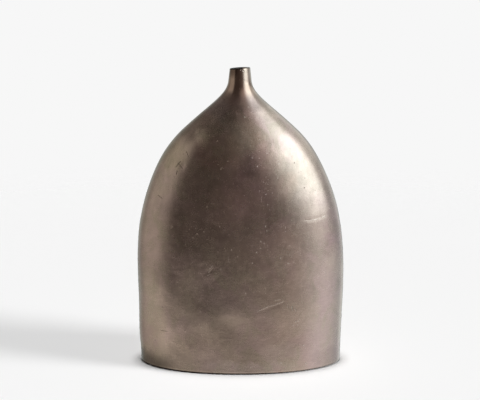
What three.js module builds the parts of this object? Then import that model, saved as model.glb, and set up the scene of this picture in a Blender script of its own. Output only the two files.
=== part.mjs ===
// Aluminium vase: a flat bottle form with an oval foot, a pointed-arch outline and a short round neck.
// It is cast in two halves that are welded along both sides, and closed by a base plate on felt pads.
// Millimetres. +Z is up, the front faces -Y, and z = 0 is the surface that the pads stand on.

import * as THREE from "three";

// Outline seen from the front, as full widths
const FOOT_WIDTH = 252.5;
const BELLY_WIDTH = 256;
const SHOULDER_WIDTH = 137;
const NECK_WIDTH = 28;
const MOUTH_WIDTH = 24.6;
const SHOULDER_LEAN_FRONT = 46.7; // degrees off upright where the outline turns from full to hollow

// Outline seen from the side, as full depths; the neck and the mouth are round
const FOOT_DEPTH = 124;
const BELLY_DEPTH = 126;
const SHOULDER_DEPTH = 79;
const SHOULDER_LEAN_SIDE = 25; // degrees off upright

// Heights
const VASE_HEIGHT = 368; // from the standing surface to the middle of the mouth
const BELLY_HEIGHT = 126.5; // where the body is widest
const SHOULDER_DROP = 73.7; // from the mouth down to where the outline turns hollow
const NECK_LENGTH = 15.5; // the straight end of the neck
const FOOT_LIFT = 1.5; // how far the pads hold the foot edge up

// Fullness of the curves: the reach of each end's handle, as a share of that curve's height
const FOOT_FULLNESS = 0.29;
const BELLY_FULLNESS = 0.38;
const SHOULDER_FULLNESS = 0.22;
const HOLLOW_FULLNESS = 0.53;
const NECK_FULLNESS = 0.29;

// Casting
const WALL = 4;
const MOUTH_TILT = 3; // degrees, the hand-cut mouth is lower on the left
const LEDGE_REACH = 5; // the inward ledge that the base plate seats against
const LEDGE_THICKNESS = 5;
const EDGE_EASE = 0.8; // radius of the rounded edges at the mouth and under the foot

// Welds
const SEAM_GROOVE = 1.8; // depth and half-width of the groove that the side welds fill
const BASE_WELD_LEG = 2; // the bead in the corner between the base plate and the foot
const BASE_WELD_CROWN = 0.3; // how far the bead's face bulges

// Base
const PLATE_THICKNESS = 3;
const PLATE_RECESS = 2.5; // from the foot edge up to the underside of the plate
const PLATE_CLEARANCE = 0.3; // between the plate's edge and the foot wall
const PAD_DIAMETER = 18;
const PAD_MARGIN = 4; // between a pad and the base weld
const PAD_ANGLE = 35; // degrees round the oval, from the long axis to a pad

// Facets
const SHELL_SEGMENTS = 24; // round half of the oval
const BELLY_STEPS = 6; // from the foot to the belly
const SHOULDER_STEPS = 12; // from the belly to the shoulder
const HOLLOW_STEPS = 14; // from the shoulder to the neck
const EASE_STEPS = 2; // round a quarter of an eased edge
const PAD_SEGMENTS = 32;

// Levels that follow from the sizes above
const SHOULDER_HEIGHT = VASE_HEIGHT - SHOULDER_DROP;
const NECK_HEIGHT = VASE_HEIGHT - NECK_LENGTH;
const PLATE_UNDERSIDE = FOOT_LIFT + PLATE_RECESS;
const PLATE_TOP = PLATE_UNDERSIDE + PLATE_THICKNESS;
const LEDGE_TOP = PLATE_TOP + LEDGE_THICKNESS;
const QUARTER_TURN = Math.PI / 2;

// The foot's straight-sided inside, where the plate lies
const POCKET = {
  width: FOOT_WIDTH / 2 - WALL,
  depth: FOOT_DEPTH / 2 - WALL,
};

// Materials: one colour, roughness and metalness for each kind of piece
function bronzedAluminium(name) {
  const material = new THREE.MeshStandardMaterial({ color: 0x7d6a5e, roughness: 0.4, metalness: 1 });
  material.name = name;
  return material;
}

function plainAluminium(name) {
  const material = new THREE.MeshStandardMaterial({ color: 0x9a948c, roughness: 0.55, metalness: 1 });
  material.name = name;
  return material;
}

function darkFelt(name) {
  const material = new THREE.MeshStandardMaterial({ color: 0x1f1d1b, roughness: 1, metalness: 0 });
  material.name = name;
  return material;
}

// An outline from the foot to the mouth: x is the half-breadth and y is the height.
// The curves meet upright at the belly and leaning at the shoulder.
// The hollow one runs into the neck's taper.
function outline(foot, belly, shoulder, neck, mouth, leanDegrees) {
  const lean = Math.tan(THREE.MathUtils.degToRad(leanDegrees));
  const lower = BELLY_HEIGHT - FOOT_LIFT;
  const upper = SHOULDER_HEIGHT - BELLY_HEIGHT;
  const hollow = NECK_HEIGHT - SHOULDER_HEIGHT;
  const taper = (neck - mouth) / NECK_LENGTH;
  const point = (breadth, height) => new THREE.Vector2(breadth, height);
  return [
    new THREE.CubicBezierCurve(
      point(foot, FOOT_LIFT),
      point(foot, FOOT_LIFT + FOOT_FULLNESS * lower),
      point(belly, BELLY_HEIGHT - FOOT_FULLNESS * lower),
      point(belly, BELLY_HEIGHT),
    ),
    new THREE.CubicBezierCurve(
      point(belly, BELLY_HEIGHT),
      point(belly, BELLY_HEIGHT + BELLY_FULLNESS * upper),
      point(shoulder + SHOULDER_FULLNESS * upper * lean, SHOULDER_HEIGHT - SHOULDER_FULLNESS * upper),
      point(shoulder, SHOULDER_HEIGHT),
    ),
    new THREE.CubicBezierCurve(
      point(shoulder, SHOULDER_HEIGHT),
      point(shoulder - HOLLOW_FULLNESS * hollow * lean, SHOULDER_HEIGHT + HOLLOW_FULLNESS * hollow),
      point(neck + NECK_FULLNESS * hollow * taper, NECK_HEIGHT - NECK_FULLNESS * hollow),
      point(neck, NECK_HEIGHT),
    ),
    new THREE.LineCurve(point(neck, NECK_HEIGHT), point(mouth, VASE_HEIGHT)),
  ];
}

const FRONT_OUTLINE = outline(
  FOOT_WIDTH / 2, BELLY_WIDTH / 2, SHOULDER_WIDTH / 2, NECK_WIDTH / 2, MOUTH_WIDTH / 2, SHOULDER_LEAN_FRONT,
);
const SIDE_OUTLINE = outline(
  FOOT_DEPTH / 2, BELLY_DEPTH / 2, SHOULDER_DEPTH / 2, NECK_WIDTH / 2, MOUTH_WIDTH / 2, SHOULDER_LEAN_SIDE,
);

// The outline's half-breadth at a height, and its slope there, by halving the range of the rising curve.
function readOutline(curves, height) {
  const curve = curves.find((part) => height <= part.getPoint(1).y) ?? curves.at(-1);
  let low = 0;
  let high = 1;
  for (let halving = 0; halving < 40; halving += 1) {
    const middle = (low + high) / 2;
    if (curve.getPoint(middle).y < height) {
      low = middle;
    } else {
      high = middle;
    }
  }
  const tangent = curve.getTangent(high);
  return { breadth: curve.getPoint(high).x, slope: tangent.x / tangent.y };
}

// The oval outside of the casting at a height, as half-width and half-depth.
function outerOval(height) {
  return {
    height,
    width: readOutline(FRONT_OUTLINE, height).breadth,
    depth: readOutline(SIDE_OUTLINE, height).breadth,
  };
}

// The oval inside of the casting at a height: the wall is even, so a leaning wall is broader on the level.
function innerOval(height) {
  const front = readOutline(FRONT_OUTLINE, height);
  const side = readOutline(SIDE_OUTLINE, height);
  return {
    height,
    width: front.breadth - WALL * Math.hypot(1, front.slope),
    depth: side.breadth - WALL * Math.hypot(1, side.slope),
  };
}

// Heights of the cuts through the casting between its eased edges, close together where it curves most.
function cutHeights() {
  const heights = [FOOT_LIFT + EDGE_EASE];
  const rise = (from, to, steps) => {
    for (let step = 1; step <= steps; step += 1) {
      heights.push(THREE.MathUtils.lerp(from, to, step / steps));
    }
  };
  rise(FOOT_LIFT, BELLY_HEIGHT, BELLY_STEPS);
  rise(BELLY_HEIGHT, SHOULDER_HEIGHT, SHOULDER_STEPS);
  rise(SHOULDER_HEIGHT, NECK_HEIGHT, HOLLOW_STEPS);
  heights.push(VASE_HEIGHT - EDGE_EASE);
  return heights;
}

// The ovals that round an edge off, from the wall's side to its flat end.
// The end is 1 at the mouth and -1 at the foot, and the side is 1 for the outside and -1 for the inside.
function easedEdge(oval, end, side) {
  const turns = Array.from({ length: EASE_STEPS }, (_, step) => (QUARTER_TURN * (step + 1)) / EASE_STEPS);
  return turns.map((turn) => {
    const inset = side * EDGE_EASE * (1 - Math.cos(turn));
    return {
      height: oval.height + end * EDGE_EASE * Math.sin(turn),
      width: oval.width - inset,
      depth: oval.depth - inset,
    };
  });
}

// How far a point is off its oval's level: the straight end of the neck leans into the tilt of the mouth.
function tiltRise(x, height) {
  const share = Math.max(0, (height - NECK_HEIGHT) / NECK_LENGTH);
  return share * x * Math.tan(THREE.MathUtils.degToRad(MOUTH_TILT));
}

// A point on an oval: angle 0 is the front, a quarter turn is the right-hand side.
function ovalPoint(oval, angle) {
  const x = oval.width * Math.sin(angle);
  return new THREE.Vector3(x, -oval.depth * Math.cos(angle), oval.height + tiltRise(x, oval.height));
}

// The angle at which an oval is one groove's half-width in front of the side seam.
function grooveAngle(oval) {
  return Math.acos(SEAM_GROOVE / oval.depth);
}

// Ovals of the casting's section, listed once: outside from the foot up, then inside from the mouth down.
const WALL_OUTSIDE = cutHeights().map(outerOval);
const WALL_INSIDE = [LEDGE_TOP, ...cutHeights().filter((height) => height > LEDGE_TOP)].map(innerOval);
const OUTSIDE = [
  ...easedEdge(WALL_OUTSIDE[0], -1, 1).reverse(),
  ...WALL_OUTSIDE,
  ...easedEdge(WALL_OUTSIDE.at(-1), 1, 1),
];
const INSIDE = [...WALL_INSIDE, ...easedEdge(WALL_INSIDE.at(-1), 1, -1)].reverse();
const LEDGE = [LEDGE_TOP, PLATE_TOP].map((height) => ({
  height,
  width: POCKET.width - LEDGE_REACH,
  depth: POCKET.depth - LEDGE_REACH,
}));
const POCKET_WALL = [PLATE_TOP, FOOT_LIFT].map((height) => ({ height, ...POCKET }));

// One upright cut through the front half's wall.
// The share runs from -1 at the left groove to 1 at the right one.
function wallCut(share) {
  const place = (oval) => ovalPoint(oval, share * grooveAngle(oval));
  const placeInPocket = (oval) => ovalPoint(oval, share * grooveAngle(POCKET));
  return [...OUTSIDE, ...INSIDE].map(place).concat([...LEDGE, ...POCKET_WALL].map(placeInPocket));
}

// The root of the side groove: as deep into the wall as the groove is wide, on the seam's own plane.
function grooveRoot(oval, side) {
  const edge = ovalPoint(oval, side * grooveAngle(oval));
  return new THREE.Vector3(edge.x - side * SEAM_GROOVE, 0, edge.z);
}

// The flat end of the front half, on the seam's plane: its outer edge is the root of the groove.
function seamFace(side) {
  const onSeam = (oval) => ovalPoint(oval, side * QUARTER_TURN).setY(0);
  const outer = OUTSIDE.map((oval) => grooveRoot(oval, side));
  return outer.concat([...INSIDE, ...LEDGE, ...POCKET_WALL].map(onSeam));
}

// Skins a row of matching point loops into one closed body. Flat ends close it unless the row is a ring.
function skin(loops, isRing) {
  const positions = [];
  const addTriangle = (...corners) => corners.forEach((corner) => positions.push(...corner.toArray()));
  const addQuad = (a, b, c, d) => {
    if (a.distanceToSquared(c) <= b.distanceToSquared(d)) {
      addTriangle(a, b, c);
      addTriangle(a, c, d);
    } else {
      addTriangle(a, b, d);
      addTriangle(b, c, d);
    }
  };
  const lastLoop = isRing ? loops.length : loops.length - 1;
  for (let row = 0; row < lastLoop; row += 1) {
    const loop = loops[row];
    const next = loops[(row + 1) % loops.length];
    for (let index = 0; index < loop.length; index += 1) {
      const after = (index + 1) % loop.length;
      addQuad(loop[index], loop[after], next[after], next[index]);
    }
  }
  if (!isRing) {
    endTriangles(loops[0]).forEach(([a, b, c]) => addTriangle(a, c, b));
    endTriangles(loops.at(-1)).forEach(([a, b, c]) => addTriangle(a, b, c));
  }
  const geometry = new THREE.BufferGeometry();
  geometry.setAttribute("position", new THREE.Float32BufferAttribute(positions, 3));
  return turnedOutwards(geometry);
}

// Triangles of a flat end, each in the order of its loop, found in the plane that shows most of it.
function endTriangles(loop) {
  const spread = new THREE.Box3().setFromPoints(loop).getSize(new THREE.Vector3());
  const isUpright = spread.y < spread.z;
  const flat = loop.map((corner) => new THREE.Vector2(corner.x, isUpright ? corner.z : corner.y));
  const faces = THREE.ShapeUtils.triangulateShape(flat, []);
  return faces.map((face) => face.sort((first, second) => first - second).map((index) => loop[index]));
}

// Swaps two corners of every triangle where the body's volume comes out negative.
function turnedOutwards(geometry) {
  const position = geometry.getAttribute("position");
  const corner = (index) => new THREE.Vector3().fromBufferAttribute(position, index);
  let volume = 0;
  for (let index = 0; index < position.count; index += 3) {
    volume += corner(index).dot(corner(index + 1).cross(corner(index + 2)));
  }
  if (volume < 0) {
    for (let index = 0; index < position.count; index += 3) {
      const second = corner(index + 1);
      const third = corner(index + 2);
      position.setXYZ(index + 1, third.x, third.y, third.z);
      position.setXYZ(index + 2, second.x, second.y, second.z);
    }
  }
  geometry.computeVertexNormals();
  return geometry;
}

// Shares along half of the oval, from one groove to the other.
function grooveToGroove() {
  return Array.from({ length: SHELL_SEGMENTS + 1 }, (_, index) => (2 * index) / SHELL_SEGMENTS - 1);
}

// One cast half: 1 is the front, -1 is the back, which is the front half mirrored in the seam's plane.
function shellGeometry(half) {
  const loops = [seamFace(-1), ...grooveToGroove().map(wallCut), seamFace(1)];
  const mirrored = loops.map((loop) => loop.map((point) => point.clone().setY(half * point.y)));
  return skin(mirrored, false);
}

// The filler that makes the groove on one side flush again, from the foot edge to the mouth.
function seamWeldGeometry(side) {
  const cuts = OUTSIDE.map((oval) => {
    const frontEdge = ovalPoint(oval, side * grooveAngle(oval));
    const crown = ovalPoint(oval, side * QUARTER_TURN).setY(0);
    const backEdge = frontEdge.clone().setY(-frontEdge.y);
    return [frontEdge, crown, backEdge, grooveRoot(oval, side)];
  });
  return skin(cuts, false);
}

// Angles of the corners all round the foot's inside, the same as the castings have there.
function pocketAngles() {
  const edge = grooveAngle(POCKET);
  const front = [-QUARTER_TURN, ...grooveToGroove().map((share) => share * edge)];
  return [...front, ...front.map((angle) => angle + Math.PI)];
}

// The plate that closes the foot: it seats against the ledge and clears the foot wall all round.
function basePlateGeometry() {
  const edge = {
    height: 0,
    width: POCKET.width - PLATE_CLEARANCE,
    depth: POCKET.depth - PLATE_CLEARANCE,
  };
  const corners = pocketAngles().map((angle) => ovalPoint(edge, angle));
  const shape = new THREE.Shape(corners.map((corner) => new THREE.Vector2(corner.x, corner.y)));
  return new THREE.ExtrudeGeometry(shape, { depth: PLATE_THICKNESS, bevelEnabled: false });
}

// The bead under the plate, in the corner between the plate and the foot wall, all the way round.
function baseWeldGeometry() {
  const at = (inset, drop, angle) => {
    const oval = {
      height: PLATE_UNDERSIDE - drop,
      width: POCKET.width - inset,
      depth: POCKET.depth - inset,
    };
    return ovalPoint(oval, angle);
  };
  const crown = BASE_WELD_LEG / 2 + BASE_WELD_CROWN;
  const cuts = pocketAngles().map((angle) => [
    at(0, 0, angle),
    at(0, BASE_WELD_LEG, angle),
    at(crown, crown, angle),
    at(BASE_WELD_LEG, 0, angle),
  ]);
  return skin(cuts, true);
}

// A felt disc between the plate and the standing surface, with its axis upright.
function padGeometry() {
  const disc = new THREE.CylinderGeometry(PAD_DIAMETER / 2, PAD_DIAMETER / 2, PLATE_UNDERSIDE, PAD_SEGMENTS);
  return disc.rotateX(QUARTER_TURN).translate(0, 0, PLATE_UNDERSIDE / 2);
}

// The middle of a pad, on an oval that keeps it clear of the base weld.
function padPlace(sideX, sideY) {
  const inset = BASE_WELD_LEG + PAD_MARGIN + PAD_DIAMETER / 2;
  const angle = THREE.MathUtils.degToRad(PAD_ANGLE);
  return new THREE.Vector3(
    sideX * (POCKET.width - inset) * Math.cos(angle),
    sideY * (POCKET.depth - inset) * Math.sin(angle),
    0,
  );
}

function addPiece(parent, name, geometry, material) {
  const mesh = new THREE.Mesh(geometry, material);
  mesh.name = name;
  parent.add(mesh);
  return mesh;
}

function castings() {
  const group = new THREE.Group();
  addPiece(group, "front_shell", shellGeometry(1), bronzedAluminium("front casting"));
  addPiece(group, "back_shell", shellGeometry(-1), bronzedAluminium("back casting"));
  return group;
}

function welds() {
  const group = new THREE.Group();
  addPiece(group, "seam_weld_left", seamWeldGeometry(-1), bronzedAluminium("left seam filler"));
  addPiece(group, "seam_weld_right", seamWeldGeometry(1), bronzedAluminium("right seam filler"));
  addPiece(group, "base_weld", baseWeldGeometry(), plainAluminium("base filler"));
  return group;
}

function base() {
  const group = new THREE.Group();
  const plate = addPiece(group, "base_plate", basePlateGeometry(), plainAluminium("base sheet"));
  plate.position.z = PLATE_UNDERSIDE;
  const sides = [["left", -1], ["right", 1]];
  const faces = [["front", -1], ["back", 1]];
  for (const [faceName, sideY] of faces) {
    for (const [sideName, sideX] of sides) {
      const pad = addPiece(group, `felt_pad_${faceName}_${sideName}`, padGeometry(), darkFelt("pad felt"));
      pad.position.copy(padPlace(sideX, sideY));
    }
  }
  return group;
}

const vase = new THREE.Group();
vase.name = "aluminium_vase";
vase.add(castings(), welds(), base());

export default vase;
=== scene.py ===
"""Aluminium vase with a bronze patina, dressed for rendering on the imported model's frame.

The file is laid out as a Blender add-on and is run as a script. Lengths are in metres in the frame of the
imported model: +Z is up, the front faces -Y, and z = 0 is the surface that the vase stands on. Places inside
the materials are in millimetres, because a casting's grain, pits and scratches are measured so.
"""

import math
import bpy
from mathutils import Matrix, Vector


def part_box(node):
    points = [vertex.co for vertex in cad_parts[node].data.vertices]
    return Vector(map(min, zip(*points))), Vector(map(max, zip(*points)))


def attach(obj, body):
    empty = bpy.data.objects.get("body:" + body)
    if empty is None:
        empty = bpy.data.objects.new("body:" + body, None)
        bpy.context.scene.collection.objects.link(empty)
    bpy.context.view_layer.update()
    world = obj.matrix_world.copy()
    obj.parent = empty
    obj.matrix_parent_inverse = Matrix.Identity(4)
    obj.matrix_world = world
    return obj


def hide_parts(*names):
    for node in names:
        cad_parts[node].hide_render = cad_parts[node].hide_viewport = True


bl_info = {
    "name": "Aluminium vase",
    "version": (1, 0, 0),
    "blender": (4, 5, 0),
    "location": "3D View > Sidebar > Vase",
    "description": "Builds the castings, welds, felt pads and finishes of an aluminium vase, and its stage",
    "category": "Add Mesh",
}

from dataclasses import dataclass
from functools import reduce

import bpy
import numpy as np

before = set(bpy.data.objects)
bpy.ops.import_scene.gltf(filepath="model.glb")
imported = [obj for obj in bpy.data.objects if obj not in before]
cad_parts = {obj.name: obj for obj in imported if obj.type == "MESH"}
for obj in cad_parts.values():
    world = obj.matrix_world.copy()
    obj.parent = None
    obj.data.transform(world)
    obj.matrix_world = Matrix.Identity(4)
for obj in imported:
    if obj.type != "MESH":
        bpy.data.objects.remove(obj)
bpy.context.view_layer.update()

MILLIMETRE = 0.001
QUARTER_TURN = math.pi / 2

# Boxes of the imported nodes, which the finer pieces keep to
SHELL_LOW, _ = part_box("front_shell")
PLATE_LOW, PLATE_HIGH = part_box("base_plate")
BEAD_LOW, BEAD_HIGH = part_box("base_weld")
_, CROWN_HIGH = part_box("seam_weld_right")

# Fineness of the new meshes
CURVE_SAMPLES = 1500
FINE_STEPS_PER_ROW = 20
SHELL_COLUMNS = 168
WALL_ROWS = 236
EASE_ROWS = 5
WELD_COLUMNS = 8
BEAD_POINTS = 9
BEAD_STEPS_PER_RIPPLE = 6
PAD_COLUMNS = 96
PAD_ROWS = 14
FLOOR_COLUMNS = 96

# Angles in degrees between faces from which an edge looks sharp
CASTING_SHARPNESS = 35
ROUND_SHARPNESS = 60

# The hump that grinding left on the side welds: its height, the spacing and share of its waves, and its fade
HUMP_HEIGHT = 0.00004
HUMP_SPACING = 0.022
HUMP_SWING = 0.4
HUMP_FADE = 0.02

# The base weld's bulge, the shares of its ripples and slow wander, and the ripples' lag in the middle
BEAD_BULGE = 0.00028
BEAD_SWING = 0.45
BEAD_WANDER = 0.15
BEAD_CRESCENT = 2.2

# The felt pads' section, and the waves of their punched rim
PAD_ROUNDNESS = 0.45
PAD_EDGE = 0.1
PAD_WAVES = np.arange(3, 15)
PAD_WANDER = 0.00002


def setting(name, description, default, **kind):
    """A number that a user may change."""
    return bpy.props.FloatProperty(name=name, description=description, default=default, **kind)


def metres(name, description, default):
    """A length that a user may change, in metres."""
    return setting(name, description, default, min=0, precision=5, unit="LENGTH", subtype="DISTANCE")


def degrees(name, description, default):
    """An angle that a user may change, given in degrees."""
    return setting(name, description, math.radians(default), unit="ROTATION", subtype="ANGLE")


def fraction(name, description, default):
    """A share between 0 and 1 that a user may change."""
    return setting(name, description, default, min=0, max=1, subtype="FACTOR")


def tint(name, description, default):
    """A colour that a user may change."""
    return bpy.props.FloatVectorProperty(
        name=name, description=description, default=default, min=0, max=1, size=3, subtype="COLOR"
    )


def lamp_strength(name, description, default):
    """A lamp's strength, in watts for each square metre."""
    return setting(name, description, default, min=0)


class VaseSizes(bpy.types.PropertyGroup):
    """The vase's measurements."""

    foot_width: metres("Foot width", "Across the foot edge, seen from the front", 0.2525)
    belly_width: metres("Belly width", "The widest place, seen from the front", 2 * CROWN_HIGH.x)
    shoulder_width: metres("Shoulder width", "Where the outline turns hollow, from the front", 0.137)
    neck_width: metres("Neck width", "Across the lower end of the straight neck", 0.028)
    mouth_width: metres("Mouth width", "Across the outside of the mouth", 0.0246)
    lean_front: degrees("Shoulder lean, front", "Off upright where the outline turns hollow", 46.7)
    foot_depth: metres("Foot depth", "Across the foot edge, seen from the side", 0.124)
    belly_depth: metres("Belly depth", "The deepest place, seen from the side", -2 * SHELL_LOW.y)
    shoulder_depth: metres("Shoulder depth", "Where the outline turns hollow, from the side", 0.079)
    lean_side: degrees("Shoulder lean, side", "Off upright where the outline turns hollow", 25)
    height: metres("Height", "From the standing surface to the middle of the mouth", 0.368)
    belly_height: metres("Belly height", "Level of the widest place", 0.1265)
    shoulder_drop: metres("Shoulder drop", "From the mouth down to the turn of the outline", 0.0737)
    neck_length: metres("Neck length", "The straight end of the neck", 0.0155)
    foot_fullness: fraction("Foot fullness", "Handle of the lower curve, as a share of its height", 0.29)
    belly_fullness: fraction("Belly fullness", "Handle above the belly", 0.38)
    shoulder_fullness: fraction("Shoulder fullness", "Handle under the shoulder", 0.22)
    hollow_fullness: fraction("Hollow fullness", "Handle above the shoulder", 0.53)
    neck_fullness: fraction("Neck fullness", "Handle under the straight neck", 0.29)
    wall: metres("Wall", "Thickness of the casting", 0.004)
    mouth_tilt: degrees("Mouth tilt", "The hand-cut mouth is lower on the left", 3)
    edge_ease: metres("Eased edge", "Radius of the rounded edges at the mouth and the foot", 0.0008)
    ledge_reach: metres("Ledge reach", "How far the ledge over the base plate stands inwards", 0.005)
    ledge_thickness: metres("Ledge thickness", "Height of that ledge", 0.005)
    seam_groove: metres("Seam groove", "Depth and half-width of the side welds", 0.0018)
    bead_ripple: metres("Bead ripple", "Distance from one ripple of the base weld to the next", 0.0021)
    undulation: metres("Undulation", "Typical height of the casting's soft unevenness", 0.00022)


class VaseFinish(bpy.types.PropertyGroup):
    """The vase's colours, which on metal tint what it mirrors, and its roughness."""

    bronze: tint("Bronze", "Main colour of the patina", (0.475, 0.355, 0.285))
    mauve: tint("Mauve", "Pinkish clouds in the patina", (0.478, 0.344, 0.297))
    olive: tint("Olive", "Greenish clouds in the patina", (0.456, 0.349, 0.275))
    # Also the colour of painted shade: along the foot edge, in the fold and inside the neck
    oxide_and_painted_shade: tint("Oxide", "Dark specks, cracks and the floors of pits", (0.14, 0.105, 0.08))
    handled: tint("Handled metal", "Tint of the patina on the neck", (0.78, 0.72, 0.67))
    # Painted shade: near black put on the mouth's rim for the shaded opening of the mouth
    cut: tint("Cut", "The sawn end of the neck, gone dark", (0.03, 0.024, 0.02))
    # Also the colour of the painted highlight along the fold
    worn_and_painted_highlight: tint("Worn metal", "Scratches and the rims of pits", (0.72, 0.62, 0.54))
    raw: tint("Raw casting", "The inside, as it left the mould", (0.34, 0.33, 0.31))
    sheet: tint("Base sheet", "Rolled sheet under the foot", (0.42, 0.37, 0.33))
    bead: tint("Base bead", "Brushed filler metal round the sheet", (0.56, 0.52, 0.47))
    felt: tint("Felt", "Pressed wool of the pads", (0.05, 0.045, 0.04))
    roughness: fraction("Roughness", "Of the satin patina", 0.26)


class VaseStage(bpy.types.PropertyGroup):
    """The camera, and what the vase stands on and mirrors."""

    camera_distance: metres("Camera distance", "From the vase's axis, on the level", 1.355)
    camera_height: metres("Camera height", "Above the standing surface", 0.475)
    camera_pitch: degrees("Camera pitch", "Down from level", 11.26)
    lens: setting("Lens", "Focal length on a 36 mm sensor", 83.78)
    floor_reach: metres("Floor reach", "Radius at which the floor has faded out", 1.6)
    floor: tint("Floor", "The plain pale floor", (0.9, 0.9, 0.9))
    backdrop: tint("Backdrop", "What the camera sees behind the vase", (0.93, 0.93, 0.93))
    side_azimuth: degrees("Side light azimuth", "Round to the right from the camera's side", 74)
    side_height: degrees("Side light height", "Above the horizon", 24)
    side_spread: degrees("Side light spread", "How wide the light from the right looks", 17)
    side_strength: lamp_strength("Side light strength", "On a surface square to the light from the right", 2)
    top_spread: degrees("Top light spread", "How wide the light from above looks", 12)
    top_strength: lamp_strength("Top light strength", "Light from above on a level surface", 2.39)
    low_strength: lamp_strength("Low light strength", "Light on the underside, seen from below", 1.5)


def bezier(ends, share):
    """Points of a cubic curve: its four points weighted by (1-t)^3, 3t(1-t)^2, 3t^2(1-t) and t^3."""
    rest = 1 - share
    weights = np.stack([rest**3, 3 * share * rest**2, 3 * share**2 * rest, share**3], axis=-1)
    return weights @ np.array(ends)


class Outline:
    """The half-breadth of the vase at any height, seen from the front or from the side.

    Three cubic curves run from the foot to the belly, the shoulder and the neck, and a straight line runs on
    to the mouth. Handles stand upright at the foot and the belly, lean at the shoulder, and follow the
    neck's taper at its lower end.
    """

    def __init__(self, sizes, foot, belly, shoulder, lean):
        neck = sizes.neck_width / 2
        mouth = sizes.mouth_width / 2
        shoulder_level = sizes.height - sizes.shoulder_drop
        neck_level = sizes.height - sizes.neck_length
        levels = (SHELL_LOW.z, sizes.belly_height, shoulder_level, neck_level)
        lower, upper, hollow = np.diff(levels)
        slope = math.tan(lean)
        taper = (neck - mouth) / sizes.neck_length
        at_foot = sizes.foot_fullness * lower
        over_belly = sizes.belly_fullness * upper
        under_shoulder = sizes.shoulder_fullness * upper
        over_shoulder = sizes.hollow_fullness * hollow
        under_neck = sizes.neck_fullness * hollow
        handles = (
            ((0, at_foot), (0, -at_foot)),
            ((0, over_belly), (under_shoulder * slope, -under_shoulder)),
            ((-over_shoulder * slope, over_shoulder), (under_neck * taper, -under_neck)),
        )
        corners = np.stack([(foot, belly, shoulder, neck), levels], axis=-1)
        share = np.linspace(0, 1, CURVE_SAMPLES, endpoint=False)
        curves = [
            bezier([start, start + leaving, end + arriving, end], share)
            for start, end, (leaving, arriving) in zip(corners, corners[1:], np.array(handles))
        ]
        points = np.concatenate([*curves, [(neck, neck_level), (mouth, sizes.height)]])
        self.breadths, self.heights = points.T
        self.slopes = np.gradient(self.breadths, self.heights)

    def breadth(self, height):
        """Half-breadth at a height, read off the curve in straight steps."""
        return np.interp(height, self.heights, self.breadths)

    def slope(self, height):
        """How much the half-breadth grows for each unit of height."""
        return np.interp(height, self.heights, self.slopes)

    def inner_breadth(self, height, wall):
        """Half-breadth of the inside: a wall of even thickness is broader on the level where it leans."""
        return self.breadth(height) - wall * np.hypot(1, self.slope(height))


def front_outline(sizes):
    """The outline seen from the front."""
    halves = (sizes.foot_width / 2, sizes.belly_width / 2, sizes.shoulder_width / 2)
    return Outline(sizes, *halves, sizes.lean_front)


def side_outline(sizes):
    """The outline seen from the side."""
    halves = (sizes.foot_depth / 2, sizes.belly_depth / 2, sizes.shoulder_depth / 2)
    return Outline(sizes, *halves, sizes.lean_side)


@dataclass
class Ovals:
    """A stack of level ovals, as arrays: each has a height, a half-width and a half-depth."""

    height: np.ndarray
    width: np.ndarray
    depth: np.ndarray

    def reversed(self):
        """The same ovals from the top down."""
        return Ovals(self.height[::-1], self.width[::-1], self.depth[::-1])

    def groove_angle(self, groove):
        """Angle at which each oval is one groove's half-width in front of the side seam."""
        return np.arccos(groove / self.depth)

    def eased_edge(self, row, radius, end, side):
        """Ovals of a quarter round, from one of these ovals to a flat end.

        At each turn t the height moves by radius sin t to the end, and the breadth by radius (1 - cos t).
        """
        turn = np.linspace(0, QUARTER_TURN, EASE_ROWS + 1)[1:]
        height = self.height[row] + end * radius * np.sin(turn)
        inset = side * radius * (1 - np.cos(turn))
        return Ovals(height, self.width[row] - inset, self.depth[row] - inset)


def joined(*stacks):
    """Several stacks of ovals, one after the other."""
    return Ovals(
        np.concatenate([stack.height for stack in stacks]),
        np.concatenate([stack.width for stack in stacks]),
        np.concatenate([stack.depth for stack in stacks]),
    )


def evenly_spaced(outline, low, high, rows):
    """Heights that cut an outline into steps of equal length, found on a finer set of heights."""
    fine = np.linspace(low, high, FINE_STEPS_PER_ROW * rows)
    steps = np.hypot(np.diff(fine), np.diff(outline.breadth(fine)))
    run = np.concatenate([[0], np.cumsum(steps)])
    return np.interp(np.linspace(0, run[-1], rows), run, fine)


def pocket_breadths(sizes):
    """Half-width and half-depth of the pocket in the foot that takes the base plate."""
    return sizes.foot_width / 2 - sizes.wall, sizes.foot_depth / 2 - sizes.wall


def level_ovals(heights, width, depth):
    """Ovals of one size at several heights."""
    heights = np.array(heights)
    return Ovals(heights, np.full_like(heights, width), np.full_like(heights, depth))


def casting_outside(sizes):
    """Ovals of the outside from the foot's flat edge to the mouth's."""
    ease = sizes.edge_ease
    front = front_outline(sizes)
    height = evenly_spaced(front, SHELL_LOW.z + ease, sizes.height - ease, WALL_ROWS)
    wall = Ovals(height, front.breadth(height), side_outline(sizes).breadth(height))
    return joined(wall.eased_edge(0, ease, -1, 1).reversed(), wall, wall.eased_edge(-1, ease, 1, 1))


def casting_inside(sizes):
    """Ovals of the inside from the pocket for the base plate, over the ledge, up to the mouth.

    They are as many as those of the outside.
    """
    ease = sizes.edge_ease
    plate_top = PLATE_HIGH.z
    ledge_top = plate_top + sizes.ledge_thickness
    width, depth = pocket_breadths(sizes)
    pocket = level_ovals([SHELL_LOW.z, plate_top], width, depth)
    ledge = level_ovals([plate_top, ledge_top], width - sizes.ledge_reach, depth - sizes.ledge_reach)
    front = front_outline(sizes)
    rows = WALL_ROWS + EASE_ROWS - len(pocket.height) - len(ledge.height)
    height = evenly_spaced(front, ledge_top, sizes.height - ease, rows)
    inner_depth = side_outline(sizes).inner_breadth(height, sizes.wall)
    wall = Ovals(height, front.inner_breadth(height, sizes.wall), inner_depth)
    return joined(pocket, ledge, wall, wall.eased_edge(-1, ease, 1, -1))


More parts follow.
